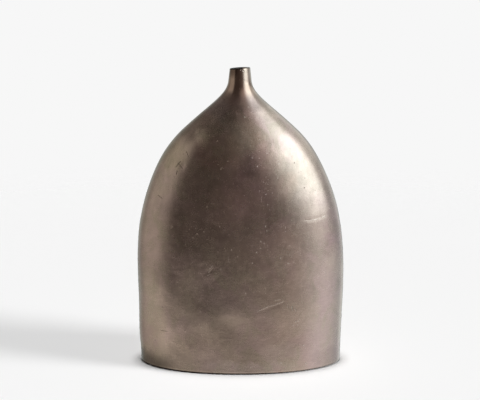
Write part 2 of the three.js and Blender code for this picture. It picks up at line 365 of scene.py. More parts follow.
def oval_points(sizes, ovals, angles):
    """Places on the ovals, as an array of columns by rows by three.

    x is the half-width times sin a and y is minus the half-depth times cos a. The straight end of the neck
    leans into the tilt of the mouth: a level's share of it grows evenly from none where that end starts.
    """
    x = ovals.width * np.sin(angles)
    y = -ovals.depth * np.cos(angles)
    share = np.clip((ovals.height - sizes.height + sizes.neck_length) / sizes.neck_length, 0, None)
    z = ovals.height + share * x * math.tan(sizes.mouth_tilt)
    return np.stack([x, y, z], axis=-1)


def outward_directions(sizes, ovals, angles):
    """Unit directions square to the surface that the ovals make.

    They follow the gradient of (x/w)^2 + (y/d)^2 with half-breadths w and d that change with the height.
    """
    width_slope = front_outline(sizes).slope(ovals.height)
    depth_slope = side_outline(sizes).slope(ovals.height)
    sine = np.sin(angles)
    cosine = np.cos(angles)
    direction = np.stack(
        [
            sine / ovals.width,
            -cosine / ovals.depth,
            -(sine**2 * width_slope / ovals.width + cosine**2 * depth_slope / ovals.depth),
        ],
        axis=-1,
    )
    return direction / np.linalg.norm(direction, axis=-1, keepdims=True)


@dataclass
class Dent:
    """A soft knock on the front: its middle, its reach along and across, its turn and its depth."""

    x: float
    z: float
    along: float
    across: float
    turn: float
    depth: float


# Knocks and wrinkles that the front shows, in millimetres and degrees. The last one stands out.
DENTS = (
    Dent(x=-37, z=130, along=7, across=2.6, turn=35, depth=0.16),
    Dent(x=-46, z=136, along=5, across=2.0, turn=20, depth=0.12),
    Dent(x=-29, z=121, along=6, across=2.2, turn=48, depth=0.12),
    Dent(x=-69, z=254, along=6, across=3.0, turn=62, depth=0.2),
    Dent(x=-56, z=290, along=9, across=6.0, turn=40, depth=0.35),
    Dent(x=31, z=186, along=14, across=4.0, turn=88, depth=0.2),
    Dent(x=37, z=85, along=17, across=1.6, turn=21, depth=0.08),
    Dent(x=92, z=190, along=24, across=12, turn=10, depth=-0.4),
)

# The crescent fold on the right of the front, in millimetres
FOLD_MIDDLE_X = 90
FOLD_LEVEL = 188.9
FOLD_RISE = 0.0095
FOLD_LOWEST_X = 85
FOLD_HALF_LENGTH = 15
FOLD_FADE_ABOVE = 7
FOLD_LIP = 2
FOLD_DEPTH = 0.15

# Where the outline stands out from the even oval, in millimetres
# Each has its side (1 is the right), its level, its reach up and down, and how far it stands out
SWELLINGS = (
    (1, 75, 105, 1.4),
    (-1, 245, 70, 0.85),
    (-1, 8, 24, -1),
)

# Waves that make up the soft unevenness
WAVE_COUNT = 28
WAVE_SHORTEST = 0.026
WAVE_LONGEST = 0.12
WAVE_SEED = 11

# Lengths over which it fades towards the foot edge and the mouth, and the share that is left there
FOOT_FADE = 0.03
FOOT_LEFT = 0.25
NECK_FADE = 0.09
NECK_LEFT = 0.08


def undulation(points):
    """Soft unevenness of a hand-dressed casting, with a typical height of 1.

    It is a sum of sine waves through space. Their directions, wavelengths and phases come from a seeded
    generator, and a wave is as high as it is long.
    """
    chance = np.random.default_rng(WAVE_SEED)
    direction = chance.normal(size=(WAVE_COUNT, 3))
    direction /= np.linalg.norm(direction, axis=1, keepdims=True)
    wavelength = chance.uniform(WAVE_SHORTEST, WAVE_LONGEST, WAVE_COUNT)
    phase = chance.uniform(0, 2 * math.pi, WAVE_COUNT)
    height = wavelength / math.sqrt((wavelength**2).sum() / 2)
    turns = points @ (direction / wavelength[:, None]).T
    return (np.sin(2 * math.pi * turns + phase) * height).sum(axis=-1)


def dents(x, z):
    """How deep the named knocks go: each falls off as exp(-(u/along)^2 - (v/across)^2)."""
    total = np.zeros_like(x)
    for dent in DENTS:
        turn = math.radians(dent.turn)
        along = (x - dent.x) * math.cos(turn) + (z - dent.z) * math.sin(turn)
        across = (z - dent.z) * math.cos(turn) - (x - dent.x) * math.sin(turn)
        total += dent.depth * np.exp(-((along / dent.along) ** 2) - (across / dent.across) ** 2)
    return total


def fold(x, z):
    """Depth of the crescent fold.

    Above its line it dies away as exp(-t/fade). Below it the metal returns within the lip, as a smooth step.
    """
    above = z - FOLD_LEVEL - FOLD_RISE * (x - FOLD_LOWEST_X) ** 2
    ends = np.exp(-(((x - FOLD_MIDDLE_X) / FOLD_HALF_LENGTH) ** 4))
    step = np.clip(above / FOLD_LIP + 1, 0, 1)
    lip = step**2 * (3 - 2 * step)
    return FOLD_DEPTH * ends * lip * np.exp(-np.maximum(above, 0) / FOLD_FADE_ABOVE)


def swelling(x, y, z):
    """How far the castings swell sideways.

    Each place falls off as exp(-((z - level)/reach)^2) up and down, and from the side towards the middle as
    the cube of x over the half-width, which is the root of x^2 + (flatness y)^2.
    """
    sideways = x / np.hypot(x, y * CROWN_HIGH.x / SHELL_LOW.y)
    total = np.zeros_like(x)
    for side, level, reach, height in SWELLINGS:
        share = np.clip(side * sideways, 0, 1) ** 3
        total += height * share * np.exp(-(((z - level) / reach) ** 2))
    return total


def relief(sizes, points):
    """How far the finished surface stands out from the true form, in metres.

    The unevenness fades towards the foot edge and on the slender neck. The knocks are on the front only, and
    they, the fold and the swellings are worked out in millimetres.
    """
    height = points[..., 2]
    foot_fade = np.clip((height - SHELL_LOW.z) / FOOT_FADE, 0, 1)
    neck_fade = np.clip((sizes.height - height) / NECK_FADE, 0, 1) ** 1.5
    soft = sizes.undulation * undulation(points)
    soft *= (FOOT_LEFT + (1 - FOOT_LEFT) * foot_fade) * (NECK_LEFT + (1 - NECK_LEFT) * neck_fade)
    x, y, z = np.moveaxis(points, -1, 0) / MILLIMETRE
    marks = swelling(x, y, z) - (y < 0) * (dents(x, z) + fold(x, z))
    return soft + marks * MILLIMETRE


def finished_surface(sizes, ovals, angles):
    """Places on the outside with its relief."""
    points = oval_points(sizes, ovals, angles)
    return points + relief(sizes, points)[..., None] * outward_directions(sizes, ovals, angles)


def grid_faces(columns, rows, is_ring):
    """Quads between neighbours of a grid whose points are numbered row by row within each column."""
    column = np.arange(columns - 1)[:, None] * rows
    steps = rows if is_ring else rows - 1
    row = np.arange(steps)[None, :]
    after = (row + 1) % rows
    corners = (column + row, column + after, column + rows + after, column + rows + row)
    return np.stack(corners, axis=-1).reshape(-1, 4)


def round_faces(columns, rows, is_ring):
    """The same quads on a grid whose last column is joined to its first."""
    return grid_faces(columns + 1, rows, is_ring) % (columns * rows)


def fan_faces(corners):
    """Triangles from a flat loop's last corner to each pair of its other neighbours."""
    return np.stack([np.full(len(corners) - 2, corners[-1]), corners[:-2], corners[1:-1]], axis=-1)


def volume_under(points, faces):
    """Signed volume between the faces and the origin: triangles are fanned from each face's first corner."""
    first = points[faces[:, 0]]
    total = 0
    for corner in range(1, faces.shape[1] - 1):
        square = np.cross(points[faces[:, corner]], points[faces[:, corner + 1]])
        total += np.einsum("ij,ij->", first, square) / 6
    return total


def add_object(name, data):
    """A new object in the scene."""
    made = bpy.data.objects.new(name, data)
    bpy.context.scene.collection.objects.link(made)
    return made


def make_piece(name, points, face_groups, materials, slots=None, sharpness=CASTING_SHARPNESS):
    """A closed mesh object at the origin, smooth except across sharp edges, with its faces turned outwards.

    A face group is an array with one row of corner numbers for each face. Slots number each face's material.
    """
    if sum(volume_under(points, faces) for faces in face_groups) < 0:
        face_groups = [faces[:, ::-1] for faces in face_groups]
    corners = np.concatenate([faces.ravel() for faces in face_groups])
    sides = np.concatenate([np.full(len(faces), faces.shape[1]) for faces in face_groups])
    mesh = bpy.data.meshes.new(name)
    mesh.vertices.add(len(points))
    mesh.vertices.foreach_set("co", points.astype(np.float32).ravel())
    mesh.loops.add(len(corners))
    mesh.loops.foreach_set("vertex_index", corners.astype(np.int32))
    mesh.polygons.add(len(sides))
    mesh.polygons.foreach_set("loop_start", (np.cumsum(sides) - sides).astype(np.int32))
    for material in materials:
        mesh.materials.append(material)
    if slots is not None:
        mesh.polygons.foreach_set("material_index", slots.astype(np.int32))
    mesh.update(calc_edges=True)
    if mesh.validate():
        raise RuntimeError(f"the mesh of {name} had faults")
    mesh.polygons.foreach_set("use_smooth", np.ones(len(sides), dtype=bool))
    mesh.set_sharp_from_angle(angle=math.radians(sharpness))
    return add_object(name, mesh)


def mount(piece, slot, *nodes):
    """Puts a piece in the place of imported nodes, on the part's one body."""
    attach(piece, "root")
    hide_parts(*nodes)


def groove_root(sizes, edge, side):
    """The bottom of a side groove: one groove's depth inside its edge, in the plane of the two sides."""
    root = edge.copy()
    root[..., 0] -= side * sizes.seam_groove
    root[..., 1] = 0
    return root


def make_casting(sizes, name, half, materials):
    """One cast half: 1 is the front and -1 is the back, which mirrors its form but has its own unevenness.

    Each column is a closed loop, up the outside and down the inside. The first and last columns lie in the
    seam's plane: their outside is the root of the side groove, and a ladder of quads closes each of them.
    """
    outside = casting_outside(sizes)
    inside = casting_inside(sizes)
    share = np.linspace(-1, 1, SHELL_COLUMNS + 1)[:, None]
    facing = QUARTER_TURN - half * QUARTER_TURN
    outer = finished_surface(sizes, outside, facing + share * outside.groove_angle(sizes.seam_groove))
    inner = oval_points(sizes, inside, facing + share * inside.groove_angle(sizes.seam_groove))
    side = half * np.array([-1, 1])[:, None]
    middle = oval_points(sizes, inside, side * QUARTER_TURN)
    middle[..., 1] = 0
    loops = np.concatenate([outer, inner[:, ::-1]], axis=1)
    ends = np.concatenate([groove_root(sizes, outer[[0, -1]], side), middle[:, ::-1]], axis=1)
    loops = np.concatenate([ends[:1], loops, ends[1:]])
    columns, rows = loops.shape[:2]
    rung = np.arange(len(outside.height) - 1)
    ladder = np.stack([rung, rung + 1, rows - 2 - rung, rows - 1 - rung], axis=-1)
    last = (columns - 1) * rows
    walls = grid_faces(columns, rows, is_ring=True)
    row = np.tile(np.arange(rows), columns - 1)
    is_raw = (row >= len(outside.height) + EASE_ROWS) & (row < rows - 2)
    slots = np.concatenate([is_raw, np.ones(2 * len(ladder), dtype=bool)])
    return make_piece(name, loops.reshape(-1, 3), [walls, ladder[:, ::-1], ladder + last], materials, slots)


def make_seam_weld(sizes, name, side, materials):
    """Filler in the groove on one side, ground flush: 1 is the right side and -1 the left.

    Each cut across it runs along the casting's outside from the front edge to the back edge, with a faint
    hump that grinding left, 1 - u^2 across and a sine wave along, and closes at the groove's root.
    """
    outside = casting_outside(sizes)
    edge = outside.groove_angle(sizes.seam_groove)
    across = np.linspace(-1, 1, WELD_COLUMNS + 1)[:, None]
    angles = side * (QUARTER_TURN + across * (QUARTER_TURN - edge))
    crown = finished_surface(sizes, outside, angles)
    wave = np.sin(outside.height * (2 * math.pi / HUMP_SPACING))
    hump = HUMP_HEIGHT * (1 - across**2) * (1 - HUMP_SWING + HUMP_SWING * wave)
    fade = np.clip((sizes.height - outside.height) / HUMP_FADE, 0, 1)
    crown += (hump * fade)[..., None] * outward_directions(sizes, outside, angles)
    loops = np.concatenate([crown, groove_root(sizes, crown[:1], side)]).transpose(1, 0, 2)
    rows, corners = loops.shape[:2]
    sides = grid_faces(rows, corners, is_ring=True)
    cap = fan_faces(np.arange(corners))
    caps = [cap[:, ::-1], cap + (rows - 1) * corners]
    return make_piece(name, loops.reshape(-1, 3), [sides, *caps], materials)


def make_base_bead(sizes, name, materials):
    """The weld bead in the corner between the base plate and the foot, all the way round.

    A cut across it has two straight legs and a face that bulges by a sine half-wave. The bulge grows and
    shrinks along the bead, later in its middle than at its sides, which gives the ripples their crescents,
    and wanders slowly by two sine waves.
    """
    width, depth = pocket_breadths(sizes)
    length = 2 * math.pi * math.sqrt((width**2 + depth**2) / 2)
    ripples = round(length / sizes.bead_ripple)
    turn = np.linspace(0, 2 * math.pi, ripples * BEAD_STEPS_PER_RIPPLE, endpoint=False)[:, None]
    leg = BEAD_HIGH.z - BEAD_LOW.z
    across = np.linspace(0, 1, BEAD_POINTS)[None, :]
    wave = np.sin(ripples * turn - BEAD_CRESCENT * np.sin(math.pi * across))
    wander = np.sin(5 * turn) + 0.6 * np.sin(13 * turn + 1)
    bulge = BEAD_BULGE * (1 + BEAD_SWING * wave + BEAD_WANDER * wander) * np.sin(math.pi * across)
    inset = leg * across + bulge * math.sqrt(0.5)
    drop = leg * (1 - across) + bulge * math.sqrt(0.5)
    corner = np.zeros_like(turn)
    inset = np.concatenate([inset, corner], axis=1)
    drop = np.concatenate([drop, corner], axis=1)
    x = (width - inset) * np.sin(turn)
    y = -(depth - inset) * np.cos(turn)
    points = np.stack([x, y, PLATE_LOW.z - drop], axis=-1)
    faces = round_faces(*points.shape[:2], is_ring=True)
    return make_piece(name, points.reshape(-1, 3), [faces], materials, sharpness=ROUND_SHARPNESS)


def make_felt_pad(name, node, seed, materials):
    """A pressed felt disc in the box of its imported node.

    Its side in section is cos t and sin t, both to a power below 1, which bulges as pressed felt does. The
    rim wanders by a sum of seeded sine waves, as felt cut with a punch does.
    """
    low, high = (np.array(corner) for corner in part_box(node))
    centre = (low + high) / 2
    radius, _, half_height = (high - low) / 2
    chance = np.random.default_rng(seed)
    turn = np.linspace(0, 2 * math.pi, PAD_COLUMNS, endpoint=False)[:, None]
    count = len(PAD_WAVES)
    waves = np.sin(turn * PAD_WAVES + chance.uniform(0, 2 * math.pi, count))
    wander = PAD_WANDER * (waves.sum(axis=1, keepdims=True) - count / 2)
    rise = np.linspace(-QUARTER_TURN, QUARTER_TURN, PAD_ROWS)
    reach = np.abs(np.cos(rise)) ** PAD_ROUNDNESS
    level = np.sign(rise) * np.abs(np.sin(rise)) ** PAD_ROUNDNESS
    ring = radius * (1 - PAD_EDGE * (1 - reach)) + wander * reach
    x = ring * np.sin(turn)
    y = -ring * np.cos(turn)
    z = half_height * level + 0 * turn
    side = centre + np.stack([x, y, z], axis=-1)
    columns, rows = side.shape[:2]
    faces = round_faces(columns, rows, is_ring=False)
    poles = centre + np.array([[0, 0, -half_height], [0, 0, half_height]])
    points = np.concatenate([side.reshape(-1, 3), poles])
    first = np.arange(columns) * rows
    after = np.roll(first, -1)
    low_pole = np.full(columns, len(points) - 2)
    bottom = np.stack([low_pole, first, after], axis=-1)
    top = np.stack([low_pole + 1, after + rows - 1, first + rows - 1], axis=-1)
    return make_piece(name, points, [faces, bottom, top], materials, sharpness=ROUND_SHARPNESS)


class Value:
    """A number that varies over a surface. Arithmetic on it adds Math nodes."""

    def __init__(self, shader, socket):
        self.shader = shader
        self.socket = socket

    def maths(self, operation, *others):
        """The outcome of a Math node on this value and the others."""
        return self.shader.maths(operation, self, *others)

    def __add__(self, other):
        return self.maths("ADD", other)

    def __sub__(self, other):
        return self.maths("SUBTRACT", other)

    def __rsub__(self, other):
        return self.shader.maths("SUBTRACT", other, self)

    def __mul__(self, other):
        return self.maths("MULTIPLY", other)

    def __truediv__(self, other):
        return self.maths("DIVIDE", other)

    __radd__ = __add__
    __rmul__ = __mul__

    def squared(self):
        """The value times itself."""
        return self * self

    def root(self):
        """The square root."""
        return self.maths("SQRT")

    def between(self, low, high):
        """The value held between two limits."""
        return self.maths("MAXIMUM", low).maths("MINIMUM", high)

    def above(self, low, high):
        """0 below the lower limit and 1 above the higher one, with a smooth step between."""
        sockets = {"Value": self, "From Min": low, "From Max": high}
        made = self.shader.node("ShaderNodeMapRange", {"interpolation_type": "SMOOTHSTEP"}, sockets)
        return Value(self.shader, made.outputs["Result"])

    def below(self, low, high):
        """1 below the lower limit and 0 above the higher one, with a smooth step between."""
        return 1 - self.above(low, high)


class Shader:
    """The nodes of one material or of the world."""

    def __init__(self, owner):
        self.owner = owner
        owner.use_nodes = True
        self.tree = owner.node_tree
        self.tree.nodes.clear()

    def node(self, kind, settings=None, sockets=None):
        """Adds a node: its settings first, then its sockets' values or links."""
        made = self.tree.nodes.new(kind)
        for name, value in (settings or {}).items():
            setattr(made, name, value)
        for name, value in (sockets or {}).items():
            source = value.socket if isinstance(value, Value) else value
            if isinstance(source, bpy.types.NodeSocket):
                self.tree.links.new(source, made.inputs[name])
            else:
                made.inputs[name].default_value = source
        return made

    def maths(self, operation, *values):
        """The outcome of one Math node."""
        made = self.node("ShaderNodeMath", {"operation": operation}, dict(enumerate(values)))
        return Value(self, made.outputs[0])

    def place(self):
        """The surface's own place, in millimetres."""
        coordinates = self.node("ShaderNodeTexCoord")
        sockets = {0: coordinates.outputs["Object"], 3: 1 / MILLIMETRE}
        return self.node("ShaderNodeVectorMath", {"operation": "SCALE"}, sockets).outputs[0]

    def parts(self, vector):
        """The x, y and z of a vector."""
        made = self.node("ShaderNodeSeparateXYZ", sockets={0: vector})
        return [Value(self, output) for output in made.outputs]

    def stretched(self, vector, scale):
        """A place multiplied along each axis."""
        made = self.node("ShaderNodeVectorMath", {"operation": "MULTIPLY"}, {0: vector, 1: scale})
        return made.outputs[0]

    def noise(self, vector, size, detail=2, roughness=0.5, distortion=0):
        """Smooth noise around 0.5, whose clouds are about as large as size."""
        sockets = {
            "Vector": vector,
            "Scale": 1 / size,
            "Detail": detail,
            "Roughness": roughness,
            "Distortion": distortion,
        }
        return Value(self, self.node("ShaderNodeTexNoise", sockets=sockets).outputs[0])

    def cells(self, vector, size):
        """Distance from the middle of scattered cells, in shares of their size, and each cell's chance."""
        made = self.node("ShaderNodeTexVoronoi", sockets={"Vector": vector, "Scale": 1 / size})
        parts = self.node("ShaderNodeSeparateColor", sockets={0: made.outputs["Color"]})
        return Value(self, made.outputs["Distance"]), Value(self, parts.outputs[0])

    def blend(self, share, first, second, way="MIX"):
        """The first colour, with the second one mixed in by a share."""
        settings = {"data_type": "RGBA", "blend_type": way}
        made = self.node("ShaderNodeMix", settings, {0: share, 6: opaque(first), 7: opaque(second)})
        return made.outputs[2]

    def shaded(self, colour, value):
        """A colour multiplied by a number."""
        made = self.node("ShaderNodeCombineColor", sockets={0: value, 1: value, 2: value})
        return self.blend(1, colour, made.outputs[0], "MULTIPLY")

    def bump(self, height, distance):
        """A surface direction tilted by a height that is counted in shares of the distance."""
        return self.node("ShaderNodeBump", sockets={"Height": height, "Distance": distance}).outputs[0]

    def surface(self, colour, roughness, normal, more):
        """Links a surface to the material's output, and returns the material."""
        sockets = {"Base Color": colour, "Roughness": roughness, "Normal": normal, **more}
        made = self.node("ShaderNodeBsdfPrincipled", sockets=sockets)
        self.node("ShaderNodeOutputMaterial", sockets={"Surface": made.outputs[0]})
        return self.owner


def opaque(colour):
    """A colour with its alpha, where it is numbers. One number alone is a grey."""
    return colour if isinstance(colour, bpy.types.NodeSocket) else (*np.broadcast_to(colour, 3), 1)


def combined(operation, values):
    """Several values taken together by the same kind of Math node, one after the other."""
    return reduce(lambda total, value: total.maths(operation, value), values)


def counted_from(start, levels):
    """A pair of levels that are counted from another level."""
    return [start + level for level in levels]


@dataclass
class Patch:
    """A soft-edged oval on the front, in millimetres. Its tint multiplies the patina's colour: on stains as
    tone, on painted highlight and painted shade as light.
    """

    x: float
    z: float
    half_width: float
    half_height: float
    tint: tuple | float = 1


# The back has the front's stains, painted light patches and pits turned round, squeezed, raised by so many
# millimetres and fainter
BACK_SCALE_X = 0.9
BACK_SCALE_Z = 0.94
BACK_RISE = 9
BACK_STRENGTH = 0.55

# Patches where the front is lighter, darker, warmer or cooler: stains, and painted highlight and painted
# shade
STAINS_AND_PAINTED_LIGHT = (
    Patch(25, 286, 16, 16, 1.24),
    Patch(36, 264, 22, 25, 1.4),
    Patch(16, 256, 12, 20, 0.8),
    Patch(-12, 258, 15, 12, 1.2),
    # Painted shade: dims the highlight under the neck
    Patch(17, 327, 20, 14, 0.68),
    Patch(-44, 288, 13, 14, (1.36, 1.42, 1.38)),
    Patch(-16, 288, 40, 30, (1.08, 1.16, 1.13)),
    Patch(-84, 264, 22, 26, (0.98, 1, 0.94)),
    Patch(8, 235, 34, 50, (1.04, 0.98, 1.03)),
    Patch(54, 203, 34, 20, (0.83, 0.83, 0.82)),
    Patch(-16, 206, 34, 34, (1.22, 1.19, 1.2)),
    Patch(-74, 200, 16, 16, 0.84),
    Patch(-90, 206, 12, 26, 0.9),
    Patch(118, 168, 20, 44, (0.9, 0.845, 0.88)),
    Patch(56, 150, 22, 26, (1.18, 1.18, 1.2)),
    Patch(2, 124, 14, 12, 1.14),
    Patch(-88, 116, 16, 36, 0.78),
    Patch(-112, 88, 20, 46, (1.12, 1.14, 1.14)),
    Patch(-2, 85, 58, 18, 0.8),
    Patch(-46, 78, 26, 26, 0.93),
    Patch(-32, 105, 22, 12, 0.85),
    Patch(-20, 79, 14, 13, 0.84),
    Patch(36, 72, 26, 14, 0.89),
    Patch(-56, 38, 44, 28, (1.3, 1.3, 1.29)),
    Patch(56, 24, 34, 20, (1.08, 1.14, 1.12)),
    Patch(12, 32, 24, 14, 0.87),
    Patch(15, 8, 70, 14, (1.18, 1.22, 1.27)),
    Patch(112, 12, 22, 18, 0.86),
    Patch(-74, 30, 14, 12, 1.14),
    # Painted shade: darkens the foot's left end, as the floor's shadow would be mirrored there
    Patch(-120, 2, 42, 26, 0.32),
    Patch(-103, 14, 13, 22, 0.86),
    Patch(-128, 110, 12, 110, (0.96, 1, 1.05)),
    Patch(-28, 276, 32, 32, (1.06, 0.99, 0.97)),
    Patch(-22, 320, 20, 18, (0.95, 1, 1.04)),
    Patch(53, 234, 16, 24, (1.04, 0.99, 0.96)),
    Patch(62, 224, 7, 9, 0.88),
    Patch(101, 245, 10, 34, 1.09),
    Patch(-78, 88, 16, 16, 0.89),
    Patch(-60, 62, 12, 12, 0.89),
    Patch(36, 182, 16, 10, 0.92),
    Patch(-15, 335, 9, 8, 0.66),
    Patch(-9, 369, 9, 15, (0.42, 0.4, 0.38)),
    # Painted highlight on the right of the neck
    Patch(8, 361, 7, 13, (1.5, 1.6, 1.68)),
)

# Where small pits crowd on the front
ROUGH_PATCHES = (
    Patch(32, 204, 8, 38),
    Patch(21, 164, 20, 12),
    Patch(-45, 178, 26, 9),
    Patch(-38, 129, 20, 15),
)


@dataclass
class Scratch:
    """A straight mark on the front, in millimetres across (x) and up (z)."""

    start: tuple
    end: tuple
    half_width: float


# Bright rubbed scratches and dark cracks that the front shows, with a painted highlight and painted shade at
# the fold, and how much of their half-width is full
SCRATCH_CORE = 0.2
SCRATCHES_AND_FOLD_HIGHLIGHT = (
    Scratch((20.5, 80.6), (33, 86), 1.2),
    Scratch((33, 86), (52.5, 91.6), 1.4),
    Scratch((41, 93.5), (48.5, 95), 0.9),
    # Painted highlight along the lip of the fold
    Scratch((86, 189), (96, 190), 0.5),
    Scratch((96, 190), (104, 192.4), 0.6),
    Scratch((2.5, 364.4), (3, 365.6), 0.9),
    Scratch((-14, 149), (-13, 141), 0.5),
    Scratch((-33, 137), (-36, 133.5), 1.3),
    Scratch((-36, 131.5), (-37.5, 129), 0.9),
    Scratch((-36, 127), (-39, 125), 0.8),
)
CRACKS_AND_FOLD_SHADE = (
    Scratch((-77, 252), (-71, 259), 0.8),
    Scratch((-74, 257), (-68, 251), 0.6),
    Scratch((-75, 248), (-76, 244), 0.6),
    Scratch((-64, 271), (-61, 265), 0.5),
    Scratch((-99, 217), (-94, 214), 0.7),
    Scratch((-97, 50), (-90, 50), 0.5),
    # Painted shade in the fold
    Scratch((78, 190.2), (85, 189.6), 0.6),
    Scratch((-32, 133.5), (-37, 128), 0.7),
    Scratch((58, 87), (58.2, 83.5), 0.5),
    Scratch((60.5, 84.5), (60.7, 80), 0.5),
    Scratch((63.6, 85), (63.8, 79.8), 0.9),
    Scratch((67.2, 82.6), (68, 78), 0.6),
)

# Casting pits that the front shows: across, up and radius, in millimetres
PITS = (
    (6, 312, 0.8), (15, 266, 0.9), (21, 256, 0.9), (31, 223, 0.8), (33, 211, 0.7), (31, 185, 0.9),
    (32, 180, 0.7), (25, 167, 0.8), (29, 165, 0.6), (25, 159, 0.7), (20, 154, 0.8), (15, 141, 0.7),
    (49, 146, 0.9), (58, 139, 0.8), (7, 104, 0.9), (-81, 181, 0.9), (-88, 180, 0.7),
    (-51, 175, 0.9), (-43, 178, 0.8), (-56, 170, 0.7), (-24, 185, 0.8), (-10, 157, 0.9),
    (-23, 133, 0.7), (-22, 253, 1.0), (-14, 262, 0.8), (-39, 208, 0.8), (46, 258, 0.9),
    (65, 258, 0.9), (-95, 80, 0.7), (-67, 54, 0.9), (-105, 35, 0.8), (-82, 37, 0.7), (-31, 30, 0.8),
    (-51, 15, 0.9), (-59, 13, 0.7), (63, 84, 0.7), (68, 65, 0.8), (78, 34, 0.8), (81, 10, 0.8),
    (13, 10, 0.7), (1.2, 366.4, 0.9), (4.4, 365.2, 1.2),
)


def near_scratch(x, z, scratch):
    """1 on a scratch's middle line and 0 beyond its half-width.

    The place is carried onto the line by its share along it, held between the two ends.
    """
    run = scratch.end[0] - scratch.start[0]
    rise = scratch.end[1] - scratch.start[1]
    length = math.hypot(run, rise)
    across = x - scratch.start[0]
    up = z - scratch.start[1]
    along = ((across * run + up * rise) / length**2).between(0, 1)
    distance = ((across - along * run).squared() + (up - along * rise).squared()).root()
    return distance.below(SCRATCH_CORE * scratch.half_width, scratch.half_width)


def within(x, z, patch):
    """1 in the middle of a patch and 0 outside it: a smooth step over the square of the distance."""
    across = (x - patch.x) / patch.half_width
    up = (z - patch.z) / patch.half_height
    return (across.squared() + up.squared()).below(0, 1)


def to_nearest_pit(shader, x, z):
    """Distance to the middle of the nearest named pit, seen from the front, in that pit's radii."""
    flat = shader.node("ShaderNodeCombineXYZ", sockets={"X": x, "Z": z}).outputs[0]
    distances = []
    for across, up, radius in PITS:
        ends = {0: flat, 1: (across, 0, up)}
        made = shader.node("ShaderNodeVectorMath", {"operation": "DISTANCE"}, ends)
        distances.append(Value(shader, made.outputs["Value"]) / radius)
    return combined("MINIMUM", distances)


# Levels and places between which looks of the castings set in or end, in millimetres
MARKS_FROM_SEAM = (1, 6)
SMEARS_FROM = (150, 230)
STROKES_UP_TO = (150, 210)
THICKER_FROM = (50, 120)
FOOT_EDGE_SHADE_LIGHTER_FROM = (0, 70)
RIM_UNSHADED_FROM = (2.6, 4.4)
RIM_UNSHADED_UP_TO = (6.8, 8.4)

# The same, counted from the foot edge or the mouth
FOOT_EDGE_SHADE_UP_TO = (0.3, 1.1)
BROKEN_FOOT_SHADE_UP_TO = (0.4, 2.2)
HANDLED_FROM = (-45, -20)
RIM_SHADE_FROM = (-1.3, -0.5)
NECK_SHADE_FROM = (-60, -10)

# The span, in millimetres, within which noise moves the edges of the patches of stain and painted light
PATCH_WANDER = 36


